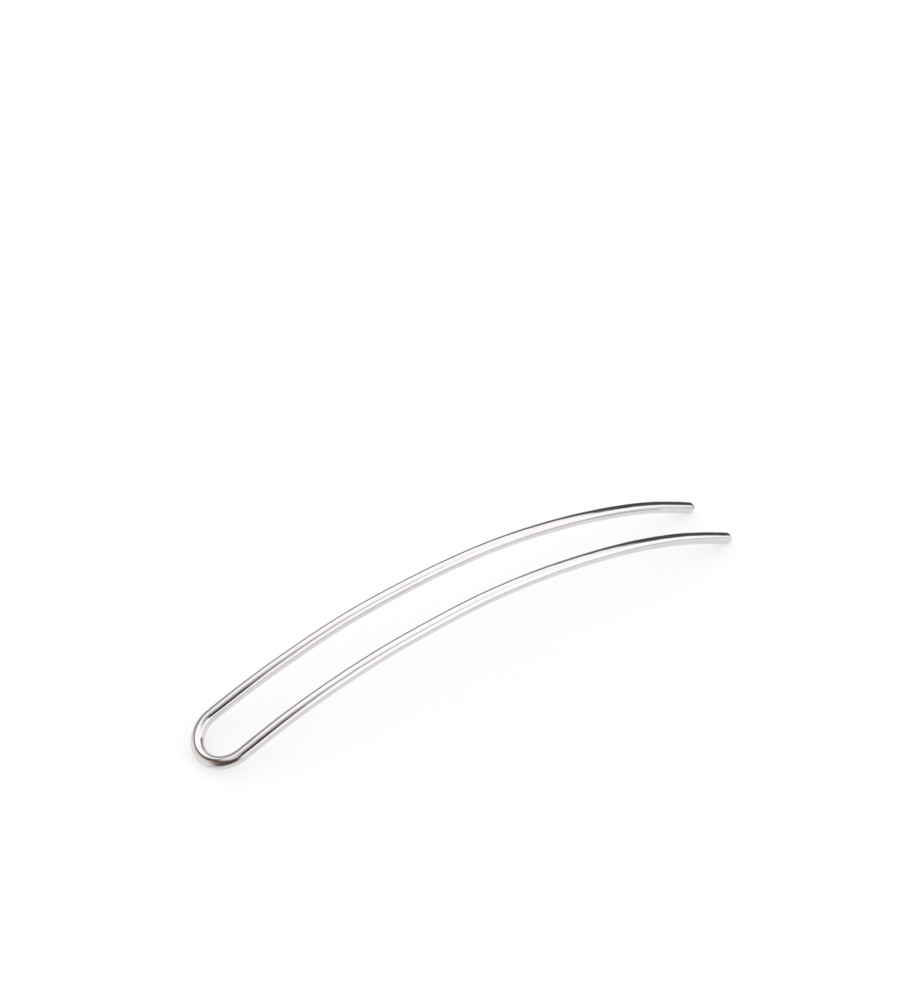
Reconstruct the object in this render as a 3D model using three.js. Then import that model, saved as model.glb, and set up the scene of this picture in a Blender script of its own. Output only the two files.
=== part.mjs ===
// A U-shaped cable needle: one polished steel rod, doubled over into two level legs and then
// arched along its length. It stands on the underside of its bow and on its two domed tips.
//
// The rod is modelled in the order a wire bender makes it: a straight rod with domed ends is
// turned, its middle is bent round into the bow, and the flat U is arched over a large former.
//
// Frame, in millimetres: +X runs from the bow to the tips, +Y across from the front leg to the
// back leg, +Z up. The origin is on the standing surface, at the middle of the footprint.

import * as THREE from "three";

// Driving dimensions
const ROD_DIAMETER = 2.5;
const LEG_SPACING = 11.1; // between the axes of the two legs, at the bow
const LEG_LENGTH = 119.5; // along its axis, from the end of the bow to the start of the dome
const DOME_LENGTH = 1.75; // of the rounded tip, beyond the leg
const LEG_SPLAY = 0.14; // degrees that each leg leans outwards from the middle line
const ARCH_RADIUS = 138; // from the arch's centre to the axis of the legs

// Fineness of the faceted solid
const SIDES = 20; // round the rod
const DOME_STEPS = 5; // from a tip's pole to its full width
const LEG_STEP = 4; // millimetres of leg between two rings
const BOW_STEPS = 32; // round the half turn of the bow

// Worked out from the driving dimensions
const ROD_RADIUS = ROD_DIAMETER / 2;
const BOW_RADIUS = LEG_SPACING / 2; // of the rod's axis round the bow
const SPLAY = THREE.MathUtils.degToRad(LEG_SPLAY);
const BOW_HALF_TURN = Math.PI / 2 - SPLAY; // from the bow's middle to where a leg starts
const BOW_HALF_LENGTH = BOW_RADIUS * BOW_HALF_TURN;
const HALF_LENGTH = BOW_HALF_LENGTH + LEG_LENGTH; // from the bow's middle to the start of a dome

// Evenly spaced values from one limit to the other, both included.
function steps(from, to, count) {
  return Array.from({ length: count + 1 }, (_, i) => THREE.MathUtils.lerp(from, to, i / count));
}

// The straight rod: a lathe profile in radius and length, from the pole of one dome to the pole
// of the other. Its rings are close together where the bow will be.
function straightRod() {
  const domeTurns = steps(0, Math.PI / 2, DOME_STEPS);
  const dome = domeTurns.map((turn) => [ROD_RADIUS * Math.sin(turn), DOME_LENGTH * Math.cos(turn)]);
  const legSteps = Math.ceil(LEG_LENGTH / LEG_STEP);
  const barrel = [
    ...steps(-HALF_LENGTH, -BOW_HALF_LENGTH, legSteps).slice(1),
    ...steps(-BOW_HALF_LENGTH, BOW_HALF_LENGTH, BOW_STEPS).slice(1),
    ...steps(BOW_HALF_LENGTH, HALF_LENGTH, legSteps).slice(1, -1),
  ];
  const profile = [
    ...dome.map(([radius, height]) => new THREE.Vector2(radius, -HALF_LENGTH - height)),
    ...barrel.map((along) => new THREE.Vector2(ROD_RADIUS, along)),
    ...dome.reverse().map(([radius, height]) => new THREE.Vector2(radius, HALF_LENGTH + height)),
  ];
  return new THREE.LatheGeometry(profile, SIDES);
}

// Bends the straight rod into a flat U. A point of the rod is (outwards, along, up) about its
// axis, and along is positive towards the front leg. The bow is an arc about the origin, and
// each leg goes straight on from the end of it.
function bendBow(point) {
  const { x: outwards, y: along, z: up } = point;
  const side = Math.sign(along);
  const turn = side * Math.min(Math.abs(along) / BOW_RADIUS, BOW_HALF_TURN);
  const down = side * Math.max(Math.abs(along) - BOW_HALF_LENGTH, 0); // distance down the leg
  const reach = BOW_RADIUS + outwards;
  return point.set(
    -reach * Math.cos(turn) + down * Math.sin(turn),
    -reach * Math.sin(turn) - down * Math.cos(turn),
    up,
  );
}

// Where along the flat U the arch is level, so that the bow and the tips stand equally low. That
// is halfway, set off by how much further a sloping tip reaches down than the round rod does.
function levelPlace(bowMiddle, tip) {
  const slope = (tip - bowMiddle) / 2 / ARCH_RADIUS;
  const tipDepth = Math.hypot(DOME_LENGTH * Math.sin(slope), ROD_RADIUS * Math.cos(slope));
  return (bowMiddle + tip) / 2 + (tipDepth - ROD_RADIUS) / (2 * Math.sin(slope));
}

// Arches the flat U over a former. Length along X becomes arc length from the level place.
function archOver(point, level) {
  const turn = (point.x - level) / ARCH_RADIUS;
  const reach = ARCH_RADIUS + point.z;
  return point.set(reach * Math.sin(turn), point.y, reach * Math.cos(turn));
}

// The bent and arched rod, with its footprint's middle at the origin.
function needleGeometry() {
  const geometry = straightRod();
  const position = geometry.getAttribute("position");
  const point = new THREE.Vector3();
  const bowMiddle = bendBow(point.set(0, 0, 0)).x;
  const tip = bendBow(point.set(0, HALF_LENGTH, 0)).x;
  const level = levelPlace(bowMiddle, tip);
  for (let i = 0; i < position.count; i++) {
    point.fromBufferAttribute(position, i);
    archOver(bendBow(point), level);
    position.setXYZ(i, point.x, point.y, point.z);
  }
  geometry.computeBoundingBox();
  const box = geometry.boundingBox;
  geometry.translate(-(box.min.x + box.max.x) / 2, -(box.min.y + box.max.y) / 2, -box.min.z);
  geometry.computeVertexNormals();
  return geometry;
}

const polishedSteel = new THREE.MeshStandardMaterial({
  name: "polished_steel",
  color: new THREE.Color(0.78, 0.77, 0.76),
  metalness: 1,
  roughness: 0.08,
});

const cableNeedle = new THREE.Group();
cableNeedle.name = "cable_needle";

const needleRod = new THREE.Mesh(needleGeometry(), polishedSteel);
needleRod.name = "needle_rod";
cableNeedle.add(needleRod);

export default cableNeedle;
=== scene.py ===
"""A U-shaped cable needle of polished round steel rod, standing on its bow and its two tips.

The rod is worked out the way a wire bender makes it. A straight blank with domed ends is bent
into a flat U, and the U is arched along its length. Every pattern of the steel is laid out on
the straight blank, so drawing and polishing lines follow the rod round its bends.
"""

import math

import bpy
import numpy as np
from mathutils import Euler, Matrix, Vector


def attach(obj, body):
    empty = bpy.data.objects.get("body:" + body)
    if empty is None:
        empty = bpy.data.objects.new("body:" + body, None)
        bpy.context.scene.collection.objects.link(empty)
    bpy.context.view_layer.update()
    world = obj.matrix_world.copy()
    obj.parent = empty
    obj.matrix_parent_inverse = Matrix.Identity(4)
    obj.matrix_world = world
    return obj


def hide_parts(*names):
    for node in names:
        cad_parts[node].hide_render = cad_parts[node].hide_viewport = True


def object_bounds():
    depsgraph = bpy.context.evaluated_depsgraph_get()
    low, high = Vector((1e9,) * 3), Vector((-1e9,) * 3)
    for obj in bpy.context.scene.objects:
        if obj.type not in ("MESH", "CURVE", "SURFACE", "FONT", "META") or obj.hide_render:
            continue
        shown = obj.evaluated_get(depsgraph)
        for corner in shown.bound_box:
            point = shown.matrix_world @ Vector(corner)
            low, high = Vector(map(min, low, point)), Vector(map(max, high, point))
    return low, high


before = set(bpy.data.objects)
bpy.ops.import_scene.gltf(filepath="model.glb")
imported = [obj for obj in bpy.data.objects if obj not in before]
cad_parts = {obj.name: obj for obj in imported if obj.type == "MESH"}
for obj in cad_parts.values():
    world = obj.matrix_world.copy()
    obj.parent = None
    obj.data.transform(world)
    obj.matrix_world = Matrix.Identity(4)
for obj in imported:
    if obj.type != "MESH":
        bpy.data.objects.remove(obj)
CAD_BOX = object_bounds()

MM = 0.001

# The rod. Lengths that aren't here come from the CAD model's box.
ROD_RADIUS = 1.25 * MM
DOME_LENGTH = 1.75 * MM
LEG_SPLAY = math.radians(0.14)
SIDES = 64
DOME_RINGS = 20
RING_STEP = 0.26 * MM
BOW_RING_STEP = 0.12 * MM
SLOPE_ROUNDS = 8  # of working out the slope of the arch's ends, each closer than the last

# What bending and polishing by hand leave in the shape
BOW_FLATTENING = 0.03  # share of the rod's thickness lost across the bow
BOW_RUN_OUT = 3.0 * MM  # length of leg over which the flattening dies out
PATH_WAVER = 0.03 * MM  # sideways wander of the rod's axis
POLISH_WAVER = 0.004 * MM  # swell and dip of the polished surface

# The waves of that wander and swell: wavelength in millimetres, phase, share, turns round the rod
SWAYS_OUTWARDS = ((41, 0.7, 1.0, 0), (23.5, 0.0, 0.5, 0))
SWAYS_UPWARDS = ((36, 2.1, 1.0, 0), (19.3, 1.3, 0.5, 0))
SWELLS = ((7.3, 0.0, 1.0, 2), (11.9, 1.0, 1.0, -1), (4.1, 2.0, 0.6, 3))

# The steel's patterns, as cycles of noise a metre across, along and up the straight blank
WIDE_LINES = (1500, 14, 1500)
FINE_LINES = (9000, 60, 9000)
SCUFFS = (5200, 420, 5200)
CROSS_SCUFFS = (4300, 380, 4300)
SMEARS = (420, 130, 420)
PITS = (2600, 2600, 2600)
SCUFF_SLANT = (0.5, 0.0, 0.3)  # radians about each of those axes
CROSS_SCUFF_SLANT = (-0.8, 0.2, -0.5)

# Values of the noise between which each pattern comes in
WIDE_LINE_SPAN = (0.3, 0.7)
SCUFF_SPAN = (0.66, 0.74)
CROSS_SCUFF_SPAN = (0.67, 0.75)
SMEAR_SPAN = (0.45, 0.70)
PIT_SPAN = (0.72, 0.80)

# What each pattern does to the steel
BRIGHT_STEEL = (0.72, 0.703, 0.707, 1)
DRAWN_STEEL = (0.68, 0.658, 0.663, 1)
SMEARED_STEEL = (0.64, 0.615, 0.615, 1)
PITTED_STEEL = (0.45, 0.43, 0.42, 1)
SMEAR_COVER = 0.35
PIT_COVER = 0.5
CLEAN_ROUGHNESS = 0.028
SMEAR_ROUGHNESS = 0.04  # this and the next two are added to the clean steel's
LINE_ROUGHNESS = 0.028
SCRATCH_ROUGHNESS = 0.12
RELIEF_DEPTH = 0.0012 * MM
WIDE_LINE_HEIGHT = 1.2  # this and the next three are in relief depths
FINE_LINE_HEIGHT = 0.5
SCRATCH_HEIGHT = -0.5
PIT_HEIGHT = -0.8

# Where the eye stands
VIEW_AZIMUTH = math.radians(-38.503)
VIEW_ELEVATION = math.radians(39.238)
VIEW_ROLL = math.radians(4.222)
VIEW_DISTANCE = 337.6 * MM
AIM_FROM_CENTRE = Vector((3.97, 12.4, 15.03)) * MM
LENS_MM = 63.3
SENSOR_MM = 36.0

# Floor and daylight
FLOOR_SIZE = 12.0
FLOOR_PAINT = 0.37
DAYLIGHT = 1.2
UNDER_LIGHT = 0.58  # the floor is a light table, so shadows on it stay faint
FLOOR_GLOW = UNDER_LIGHT + FLOOR_PAINT * DAYLIGHT  # how bright the lit floor looks

# The white tent that the steel reflects
TENT_RADIUS = 1.2
TENT_STEP = 1.0  # degrees between two of its points
TENT_SKIRT = -4  # degrees of elevation at its lower edge
TENT_WHITE = 1.44
TENT_TINT = (1.0, 1.0, 0.995)
TENT_GAPS = (
    # azimuth, elevation, half width and half height in degrees, colour, depth, sharpness
    (-140, 64, 56, 13, (0.28, 0.27, 0.27), 0.9, 2),  # high up before the bow
    (160, 57, 26, 4, (0.42, 0.41, 0.42), 0.85, 2),  # a thin strip high up in front
    (8, 16, 42, 13, (0.10, 0.10, 0.105), 1.0, 4),  # behind the legs
    (-66, 17, 28, 15, (0.56, 0.48, 0.42), 0.85, 3),  # beige, past the bow's back
    (-57, 39, 36, 8, (0.09, 0.08, 0.075), 1.0, 4),  # a strip above that
    (69, 14, 27, 20, (0.065, 0.06, 0.064), 1.0, 6),  # past the tips
    (-128, 14, 35, 29, (0.075, 0.06, 0.052), 1.0, 4),  # before the bow
    (-92, 30, 13, 15, (0.17, 0.085, 0.05), 0.95, 4),  # brown, past the bow
    (-154, 43, 14, 13, (0.02, 0.012, 0.010), 1.0, 5),  # halfway up in front
    (122, 0, 15, 4, (0.25, 0.24, 0.25), 0.85, 2),  # low down before the tips
)

# The dark table that the steel reflects under the tent
TABLE_REACH = 1.1
TABLE_POINTS = 40
TABLE_LIFT = 0.1 * MM
TABLE_FADE = 9 * MM
TIPS_TABLE_CORNER = (2 * MM, 1 * MM)  # beyond the tips, and in from the box's front
TIPS_TABLE_COLOUR = (0.08, 0.075, 0.08)
BOW_TABLE_CORNER = (2 * MM, 6 * MM)  # in from the bow's end, and in from the box's front
BOW_TABLE_COLOUR = (0.16, 0.13, 0.12)
EDGE_DISTANCES = (55 * MM, 70 * MM, 110 * MM, 150 * MM)
EDGE_GREY = 0.5
EDGE_LIFT = TABLE_LIFT / 2  # lower than the dark corner that it runs under


# ---------------------------------------------------------------- the rod's shape


def rod_sizes():
    """Sizes of the arch, the bow and the legs, from the CAD model's box.

    The box less what the rod itself adds at each end gives the arch's chord, the heights of its
    two ends below its crown, and the spacing of the tips. A sloping dome adds the root of the
    sum of the squares of its length and its radius, each times the slope's sine or cosine. The
    slope of the arch's ends is found by going round: it gives the chord and the rise, which give
    the slope. Laid flat, the U is as long as that arc, and its length and its tip spacing are two
    straight sums of the bow's radius and the leg's length. The arch's level place lies off its
    middle by how much further a dome reaches down than the rod, over twice the slope's sine.
    """
    low, high = (np.array(corner) for corner in CAD_BOX)
    length, tip_spacing, height = high - low - 2 * ROD_RADIUS
    slope = 0.0
    for _ in range(SLOPE_ROUNDS):
        reach = math.hypot(DOME_LENGTH * math.cos(slope), ROD_RADIUS * math.sin(slope))
        depth = math.hypot(DOME_LENGTH * math.sin(slope), ROD_RADIUS * math.cos(slope))
        chord = length - reach + ROD_RADIUS
        rise = height - (depth - ROD_RADIUS) / 2
        arch_radius = chord**2 / (8 * rise) + rise / 2
        slope = math.asin(chord / (2 * arch_radius))
    sine, cosine = math.sin(LEG_SPLAY), math.cos(LEG_SPLAY)
    sums = np.array([[1 - sine, cosine], [cosine, sine]])
    flat_length = 2 * arch_radius * slope
    bow_radius, leg_length = np.linalg.solve(sums, [flat_length, tip_spacing / 2])
    level = (depth - ROD_RADIUS) / (2 * math.sin(slope))
    return arch_radius, bow_radius, leg_length, level


ARCH_RADIUS, BOW_RADIUS, LEG_LENGTH, LEVEL_SHIFT = rod_sizes()
BOW_HALF_TURN = math.pi / 2 - LEG_SPLAY
BOW_HALF_LENGTH = BOW_RADIUS * BOW_HALF_TURN
HALF_LENGTH = BOW_HALF_LENGTH + LEG_LENGTH


def ring_stations():
    """Distance along the blank and radius of every ring between the two poles.

    A dome's ring at an angle from the pole lies the dome's length times that angle's cosine
    beyond the leg's end, and its radius is the rod's times that angle's sine.
    """
    angle = np.linspace(0, math.pi / 2, DOME_RINGS + 1)[1:]
    dome_along = HALF_LENGTH + DOME_LENGTH * np.cos(angle)
    dome_radius = ROD_RADIUS * np.sin(angle)
    leg_rings = round(LEG_LENGTH / RING_STEP)
    bow_rings = round(BOW_HALF_LENGTH / BOW_RING_STEP)
    leg = np.linspace(HALF_LENGTH, BOW_HALF_LENGTH, leg_rings + 1)[1:]
    half_bow = np.linspace(BOW_HALF_LENGTH, 0, bow_rings + 1)[1:]
    barrel = np.concatenate([leg, half_bow])
    half_along = np.concatenate([dome_along, barrel])
    half_radius = np.concatenate([dome_radius, np.full(len(barrel), ROD_RADIUS)])
    along = np.concatenate([-half_along, half_along[-2::-1]])
    radius = np.concatenate([half_radius, half_radius[-2::-1]])
    return along, radius


def blank_points():
    """The straight blank as rows of (outwards, along, up): pole, rings in order, pole.

    A ring's point is its radius times the cosine outwards and the sine upwards of an even turn.
    """
    along, radius = ring_stations()
    turn = np.arange(SIDES) * (2 * math.pi / SIDES)
    rings = np.empty((len(along), SIDES, 3))
    rings[:, :, 0] = radius[:, None] * np.cos(turn)
    rings[:, :, 1] = along[:, None]
    rings[:, :, 2] = radius[:, None] * np.sin(turn)
    pole = np.array([[0, HALF_LENGTH + DOME_LENGTH, 0]])
    return np.concatenate([-pole, rings.reshape(-1, 3), pole])


def wave(along, turn, wavelength, phase, share, turns):
    """The share times the sine of the distance along in wavelengths, the turns and the phase."""
    return share * np.sin(2 * math.pi * along / MM / wavelength + turns * turn + phase)


def worked(points):
    """The blank after handling: flattened at the bow, and wavering slightly along its length.

    The outward distance is scaled by one less the flattening over the bow, which a cosine ramp
    fades out down each leg. Sine waves of unequal length shift the axis and swell the surface.
    """
    outwards, along, up = points.T
    past_bow = (np.abs(along) - BOW_HALF_LENGTH) / BOW_RUN_OUT
    squeeze = BOW_FLATTENING * (0.5 + 0.5 * np.cos(math.pi * np.clip(past_bow, 0, 1)))
    turn = np.arctan2(up, outwards)
    grown = 1 + POLISH_WAVER / ROD_RADIUS * sum(wave(along, turn, *row) for row in SWELLS)
    sway_out = PATH_WAVER * sum(wave(along, turn, *row) for row in SWAYS_OUTWARDS)
    sway_up = PATH_WAVER * sum(wave(along, turn, *row) for row in SWAYS_UPWARDS)
    return np.stack([outwards * (1 - squeeze) * grown + sway_out, along, up * grown + sway_up], 1)


def bent_to_bow(points):
    """The straight rod bent into a flat U.

    Within the bow a point turns about the bow's centre by its distance along over the bow's
    radius. Past it the turn stays and the rest of the distance runs straight down the leg.
    """
    outwards, along, up = points.T
    side = np.sign(along)
    turn = side * np.minimum(np.abs(along) / BOW_RADIUS, BOW_HALF_TURN)
    down = side * np.maximum(np.abs(along) - BOW_HALF_LENGTH, 0)
    reach = BOW_RADIUS + outwards
    x = down * np.sin(turn) - reach * np.cos(turn)
    y = -reach * np.sin(turn) - down * np.cos(turn)
    return np.stack([x, y, up], 1)


def arched(points):
    """The flat U wrapped over a round former whose axis lies across it.

    Distance from the level place becomes arc length, so its turn is that distance over the
    arch's radius, and height adds to the radius. The level place is halfway, shifted so that the
    bow and the tips stand equally low. Then the bow is set down on the CAD model's floor, with
    its end at the end of the CAD model's box.
    """
    tip_x = LEG_LENGTH * math.cos(LEG_SPLAY) - BOW_RADIUS * math.sin(LEG_SPLAY)
    level_x = (tip_x - BOW_RADIUS) / 2 + LEVEL_SHIFT
    bow_turn = (BOW_RADIUS + level_x) / ARCH_RADIUS
    turn = (points[:, 0] - level_x) / ARCH_RADIUS
    reach = ARCH_RADIUS + points[:, 2]
    floor = ARCH_RADIUS * math.cos(bow_turn) - ROD_RADIUS
    centre = (Vector(CAD_BOX[0]) + Vector(CAD_BOX[1])) / 2
    bow_end = ARCH_RADIUS * math.sin(bow_turn) + ROD_RADIUS
    x = CAD_BOX[0][0] + bow_end + reach * np.sin(turn)
    y = centre.y + points[:, 1]
    z = CAD_BOX[0][2] + reach * np.cos(turn) - floor
    return np.stack([x, y, z], 1)


def grid_faces(rings, sides):
    """Faces of a closed tube of rings between two poles, wound so that they face outwards.

    Each ring's points join the next ring's in quads, and each end ring joins its pole in a fan.
    """
    here = np.arange(sides)
    following = np.roll(here, -1)
    start = 1 + np.arange(rings - 1)[:, None] * sides
    quads = np.stack(
        [start + here, start + sides + here, start + sides + following, start + following], -1
    )
    last_ring = 1 + (rings - 1) * sides
    pole = last_ring + sides
    first_fan = np.stack([np.zeros(sides, int), 1 + here, 1 + following], -1)
    last_fan = np.stack([last_ring + here, np.full(sides, pole), last_ring + following], -1)
    return [*first_fan.tolist(), *quads.reshape(-1, 4).tolist(), *last_fan.tolist()]


def make_mesh(name, points, faces):
    """A smooth-shaded mesh object from arrays of points and faces."""
    mesh = bpy.data.meshes.new(name)
    mesh.from_pydata(points.tolist(), [], faces)
    mesh.polygons.foreach_set("use_smooth", np.ones(len(mesh.polygons), bool))
    mesh.update()
    piece = bpy.data.objects.new(name, mesh)
    bpy.context.scene.collection.objects.link(piece)
    return piece


def make_rod():
    """The polished rod, with its straight blank's position kept on every point."""
    blank = blank_points()
    rings = (len(blank) - 2) // SIDES
    points = arched(bent_to_bow(worked(blank)))
    rod = make_mesh("polished_rod", points, grid_faces(rings, SIDES))
    place = rod.data.attributes.new("blank_place", "FLOAT_VECTOR", "POINT")
    place.data.foreach_set("vector", blank.astype(np.float32).ravel())
    return rod


# ---------------------------------------------------------------- the steel


class Shader:
    """A material's node tree, with one short call for each kind of node."""

    def __init__(self, name):
        self.material = bpy.data.materials.new(name)
        self.material.use_nodes = True
        self.tree = self.material.node_tree
        self.tree.nodes.clear()

    def node(self, kind, settings=None, **inputs):
        """A node with its settings, and its inputs set or linked."""
        made = self.tree.nodes.new(kind)
        for key, value in (settings or {}).items():
            setattr(made, key, value)
        for key, value in inputs.items():
            self.feed(made.inputs[key.replace("_", " ")], value)
        return made

    def feed(self, socket, value):
        """Links an output to the socket, or sets its value."""
        if isinstance(value, bpy.types.NodeSocket):
            self.tree.links.new(value, socket)
        else:
            socket.default_value = value

    def streaks(self, place, scale, turn=(0, 0, 0), detail=2.0):
        """Noise drawn out along the blank: scale is in cycles per metre on each of its axes."""
        laid = self.node("ShaderNodeMapping", Vector=place, Rotation=turn, Scale=scale)
        noise = self.node("ShaderNodeTexNoise", Vector=laid.outputs[0], Scale=1.0, Detail=detail)
        return noise.outputs[0]

    def between(self, value, low, high):
        """A smooth ramp of the value, nought up to the low end and one from the high end."""
        ranged = self.node("ShaderNodeMapRange", {"interpolation_type": "SMOOTHSTEP"})
        for socket, number in zip(ranged.inputs, (value, low, high)):
            self.feed(socket, number)
        return ranged.outputs[0]

    def math(self, operation, *values):
        """A sum, product or other function of values."""
        made = self.node("ShaderNodeMath", {"operation": operation})
        for socket, value in zip(made.inputs, values):
            self.feed(socket, value)
        return made.outputs[0]

    def blend(self, share, first, second):
        """One colour turning into another."""
        mixed = self.node("ShaderNodeMix", {"data_type": "RGBA"})
        for name, value in (("Factor", share), ("A", first), ("B", second)):
            socket = [s for s in mixed.inputs if s.name == name and s.enabled][0]
            self.feed(socket, value)
        return [s for s in mixed.outputs if s.enabled][0]


def polished_steel():
    """Mirror-polished steel: drawing lines along the rod, hairline scratches and dull smears."""
    steel = Shader("polished_steel")
    place = steel.node("ShaderNodeAttribute", {"attribute_name": "blank_place"}).outputs["Vector"]

    wide_lines = steel.streaks(place, WIDE_LINES)
    fine_lines = steel.streaks(place, FINE_LINES, detail=3.0)
    scuffs = steel.streaks(place, SCUFFS, turn=SCUFF_SLANT)
    cross_scuffs = steel.streaks(place, CROSS_SCUFFS, turn=CROSS_SCUFF_SLANT)
    smears = steel.streaks(place, SMEARS)
    pits = steel.streaks(place, PITS, detail=1.0)

    scratch = steel.math(
        "ADD",
        steel.between(scuffs, *SCUFF_SPAN),
        steel.between(cross_scuffs, *CROSS_SCUFF_SPAN),
    )
    smear = steel.between(smears, *SMEAR_SPAN)
    pit = steel.between(pits, *PIT_SPAN)

    tone = steel.blend(steel.between(wide_lines, *WIDE_LINE_SPAN), BRIGHT_STEEL, DRAWN_STEEL)
    tone = steel.blend(steel.math("MULTIPLY", smear, SMEAR_COVER), tone, SMEARED_STEEL)
    tone = steel.blend(steel.math("MULTIPLY", pit, PIT_COVER), tone, PITTED_STEEL)

    roughness = steel.math("MULTIPLY_ADD", smear, SMEAR_ROUGHNESS, CLEAN_ROUGHNESS)
    roughness = steel.math("MULTIPLY_ADD", fine_lines, LINE_ROUGHNESS, roughness)
    roughness = steel.math("MULTIPLY_ADD", scratch, SCRATCH_ROUGHNESS, roughness)

    height = steel.math("MULTIPLY", wide_lines, WIDE_LINE_HEIGHT)
    height = steel.math("MULTIPLY_ADD", fine_lines, FINE_LINE_HEIGHT, height)
    height = steel.math("MULTIPLY_ADD", scratch, SCRATCH_HEIGHT, height)
    height = steel.math("MULTIPLY_ADD", pit, PIT_HEIGHT, height)
    relief = steel.node("ShaderNodeBump", Strength=1.0, Distance=RELIEF_DEPTH, Height=height)

    surface = steel.node(
        "ShaderNodeBsdfPrincipled",
        Base_Color=tone,
        Roughness=roughness,
        Metallic=1.0,
        Normal=relief.outputs[0],
    )
    steel.node("ShaderNodeOutputMaterial", Surface=surface.outputs[0])
    return steel.material


# ---------------------------------------------------------------- studio


def tent_glow(azimuth, elevation):
    """Colour of the white tent in each direction, seen only as a reflection.

    Azimuth is turned from the back, +Y, towards the tips, +X. Each gap or dark thing outside
    the tent is a soft-edged window: its cover is one over one plus an even power of the
    distance across and of the distance up from its middle, both in its own half sizes. Covers
    darken the white one after another.
    """
    glow = np.ones(azimuth.shape + (3,)) * np.array(TENT_TINT)
    for middle, height, half_width, half_height, colour, depth, sharpness in TENT_GAPS:
        across = (azimuth - middle + 180) % 360 - 180
        distance = np.abs(across / half_width) ** (2 * sharpness)
        distance += np.abs((elevation - height) / half_height) ** (2 * sharpness)
        cover = depth / (1 + distance)
        glow += cover[..., None] * (np.array(colour) - glow)
    return glow * TENT_WHITE


def show_glow(sheet, colours):
    """Lights a studio sheet with one colour a point, and shows it only in reflections."""
    glow = sheet.data.attributes.new("glow", "FLOAT_COLOR", "POINT")
    rows = np.ones((len(sheet.data.vertices), 4), np.float32)
    rows[:, :3] = colours.reshape(-1, 3)
    glow.data.foreach_set("color", rows.ravel())
    lit = Shader(sheet.name)
    shade = lit.node("ShaderNodeAttribute", {"attribute_name": "glow"}).outputs["Color"]
    emission = lit.node("ShaderNodeEmission", Color=shade, Strength=1.0)
    lit.node("ShaderNodeOutputMaterial", Surface=emission.outputs[0])
    lit.material.cycles.emission_sampling = "NONE"
    sheet.data.materials.append(lit.material)
    for kind in ("camera", "diffuse", "shadow", "transmission", "volume_scatter"):
        setattr(sheet, "visible_" + kind, False)


def make_tent():
    """A dome round the needle: azimuth by elevation, every point one radius from the middle."""
    round_turn = np.arange(-180, 180, TENT_STEP)
    to_zenith = np.arange(TENT_SKIRT, 90 + TENT_STEP, TENT_STEP)
    azimuth, elevation = np.meshgrid(round_turn, to_zenith)
    turn, lift = np.radians(azimuth), np.radians(elevation)
    points = np.stack([np.cos(lift) * np.sin(turn), np.cos(lift) * np.cos(turn), np.sin(lift)], -1)
    rows, columns = azimuth.shape
    here = np.arange(columns)
    start = np.arange(rows - 1)[:, None] * columns
    following = np.roll(here, -1)
    quads = np.stack(
        [start + here, start + following, start + columns + following, start + columns + here], -1
    )
    points = points.reshape(-1, 3) * TENT_RADIUS
    tent = make_mesh("light_tent", points, quads.reshape(-1, 4).tolist())
    show_glow(tent, tent_glow(azimuth, elevation))


def make_dark_table(name, end_x, corner, side, colour):
    """A dark corner of the table, seen only as a reflection.

    A grid runs out from one corner point along X and along Y, to one side, with its lines at the
    squares of even steps. Its colour goes from the floor's to its own over a smooth ramp of the
    distance from the nearer inner edge. The corner is given from one end of the CAD model's box
    and from its front.
    """
    out = side * TABLE_REACH * np.linspace(0, 1, TABLE_POINTS) ** 2
    x, y = np.meshgrid(out, out)
    ramp = np.clip(np.minimum(np.abs(x), np.abs(y)) / TABLE_FADE, 0, 1)
    ramp = (ramp * ramp * (3 - 2 * ramp))[..., None]
    height = np.full(x.shape, CAD_BOX[0][2] + TABLE_LIFT)
    corner_x, corner_y = end_x + corner[0], CAD_BOX[0][1] + corner[1]
    points = np.stack([x + corner_x, y + corner_y, height], -1)
    rows, columns = x.shape
    start = np.arange(rows - 1)[:, None] * columns + np.arange(columns - 1)
    quads = np.stack([start, start + 1, start + columns + 1, start + columns], -1)
    table = make_mesh(name, points.reshape(-1, 3), quads.reshape(-1, 4).tolist())
    show_glow(table, FLOOR_GLOW + ramp * (np.array(colour) - FLOOR_GLOW))


def make_table_edge():
    """The table's front edge: a grey band along X on the floor, seen only as a reflection.

    Four straight rows at their own distances in front. The inner two are grey, and the outer two
    are as light as the floor, so both sides of the band are soft.
    """
    x, y = np.meshgrid([-TABLE_REACH, TABLE_REACH], [-distance for distance in EDGE_DISTANCES])
    height = np.full(x.shape, CAD_BOX[0][2] + EDGE_LIFT)
    points = np.stack([x, y, height], -1)
    faces = [[row, row + 1, row + 3, row + 2] for row in range(0, 2 * len(x) - 2, 2)]
    edge = make_mesh("table_edge", points.reshape(-1, 3), faces)
    glow = np.repeat([FLOOR_GLOW, EDGE_GREY, EDGE_GREY, FLOOR_GLOW], 2)
    show_glow(edge, np.repeat(glow[:, None], 3, axis=1))


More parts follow.
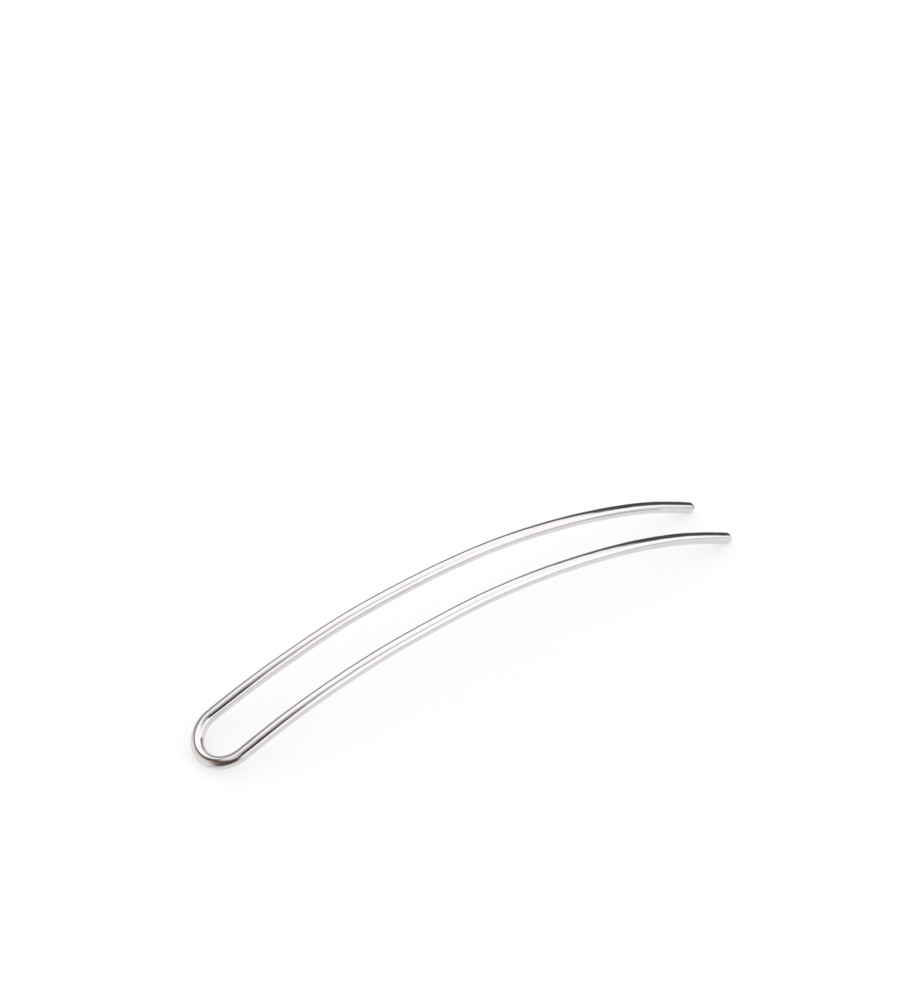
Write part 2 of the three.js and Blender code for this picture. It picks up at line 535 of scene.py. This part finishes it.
def make_floor():
    """A plain pale floor under the needle."""
    half = FLOOR_SIZE / 2
    corners = np.array([[-half, -half, 0], [half, -half, 0], [half, half, 0], [-half, half, 0]])
    corners[:, 2] = CAD_BOX[0][2]
    floor = make_mesh("floor", corners, [[0, 1, 2, 3]])
    paint = Shader("pale_floor")
    surface = paint.node("ShaderNodeBsdfDiffuse", Color=(FLOOR_PAINT, FLOOR_PAINT, FLOOR_PAINT, 1))
    under_light = paint.node("ShaderNodeEmission", Color=(1, 1, 1, 1), Strength=UNDER_LIGHT)
    both = paint.node("ShaderNodeAddShader")
    paint.feed(both.inputs[0], surface.outputs[0])
    paint.feed(both.inputs[1], under_light.outputs[0])
    paint.node("ShaderNodeOutputMaterial", Surface=both.outputs[0])
    floor.data.materials.append(paint.material)


def make_daylight():
    """Even white light from every side."""
    world = bpy.data.worlds.new("daylight")
    world.use_nodes = True
    background = world.node_tree.nodes["Background"]
    background.inputs["Color"].default_value = (1, 1, 1, 1)
    background.inputs["Strength"].default_value = DAYLIGHT
    bpy.context.scene.world = world
    bpy.context.scene.view_settings.view_transform = "Standard"


def make_camera():
    """The eye, one viewing distance back from the point that it aims at."""
    camera = bpy.data.objects.new("camera", bpy.data.cameras.new("camera"))
    camera.data.lens = LENS_MM
    camera.data.sensor_width = SENSOR_MM
    bpy.context.scene.collection.objects.link(camera)
    turn = Euler((math.pi / 2 - VIEW_ELEVATION, 0, VIEW_AZIMUTH)).to_matrix()
    turn = turn @ Matrix.Rotation(VIEW_ROLL, 3, "Z")
    centre = (Vector(CAD_BOX[0]) + Vector(CAD_BOX[1])) / 2
    aim = centre + AIM_FROM_CENTRE
    place = aim + turn @ Vector((0, 0, VIEW_DISTANCE))
    camera.matrix_world = Matrix.Translation(place) @ turn.to_4x4()
    bpy.context.scene.camera = camera


# ---------------------------------------------------------------- put together


make_camera()
make_floor()
make_tent()
make_dark_table("table_behind_tips", CAD_BOX[1][0], TIPS_TABLE_CORNER, 1, TIPS_TABLE_COLOUR)
make_dark_table("table_before_bow", CAD_BOX[0][0], BOW_TABLE_CORNER, -1, BOW_TABLE_COLOUR)
make_table_edge()
make_daylight()

rod = make_rod()
rod.data.materials.append(polished_steel())
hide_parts("needle_rod")
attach(rod, "root")
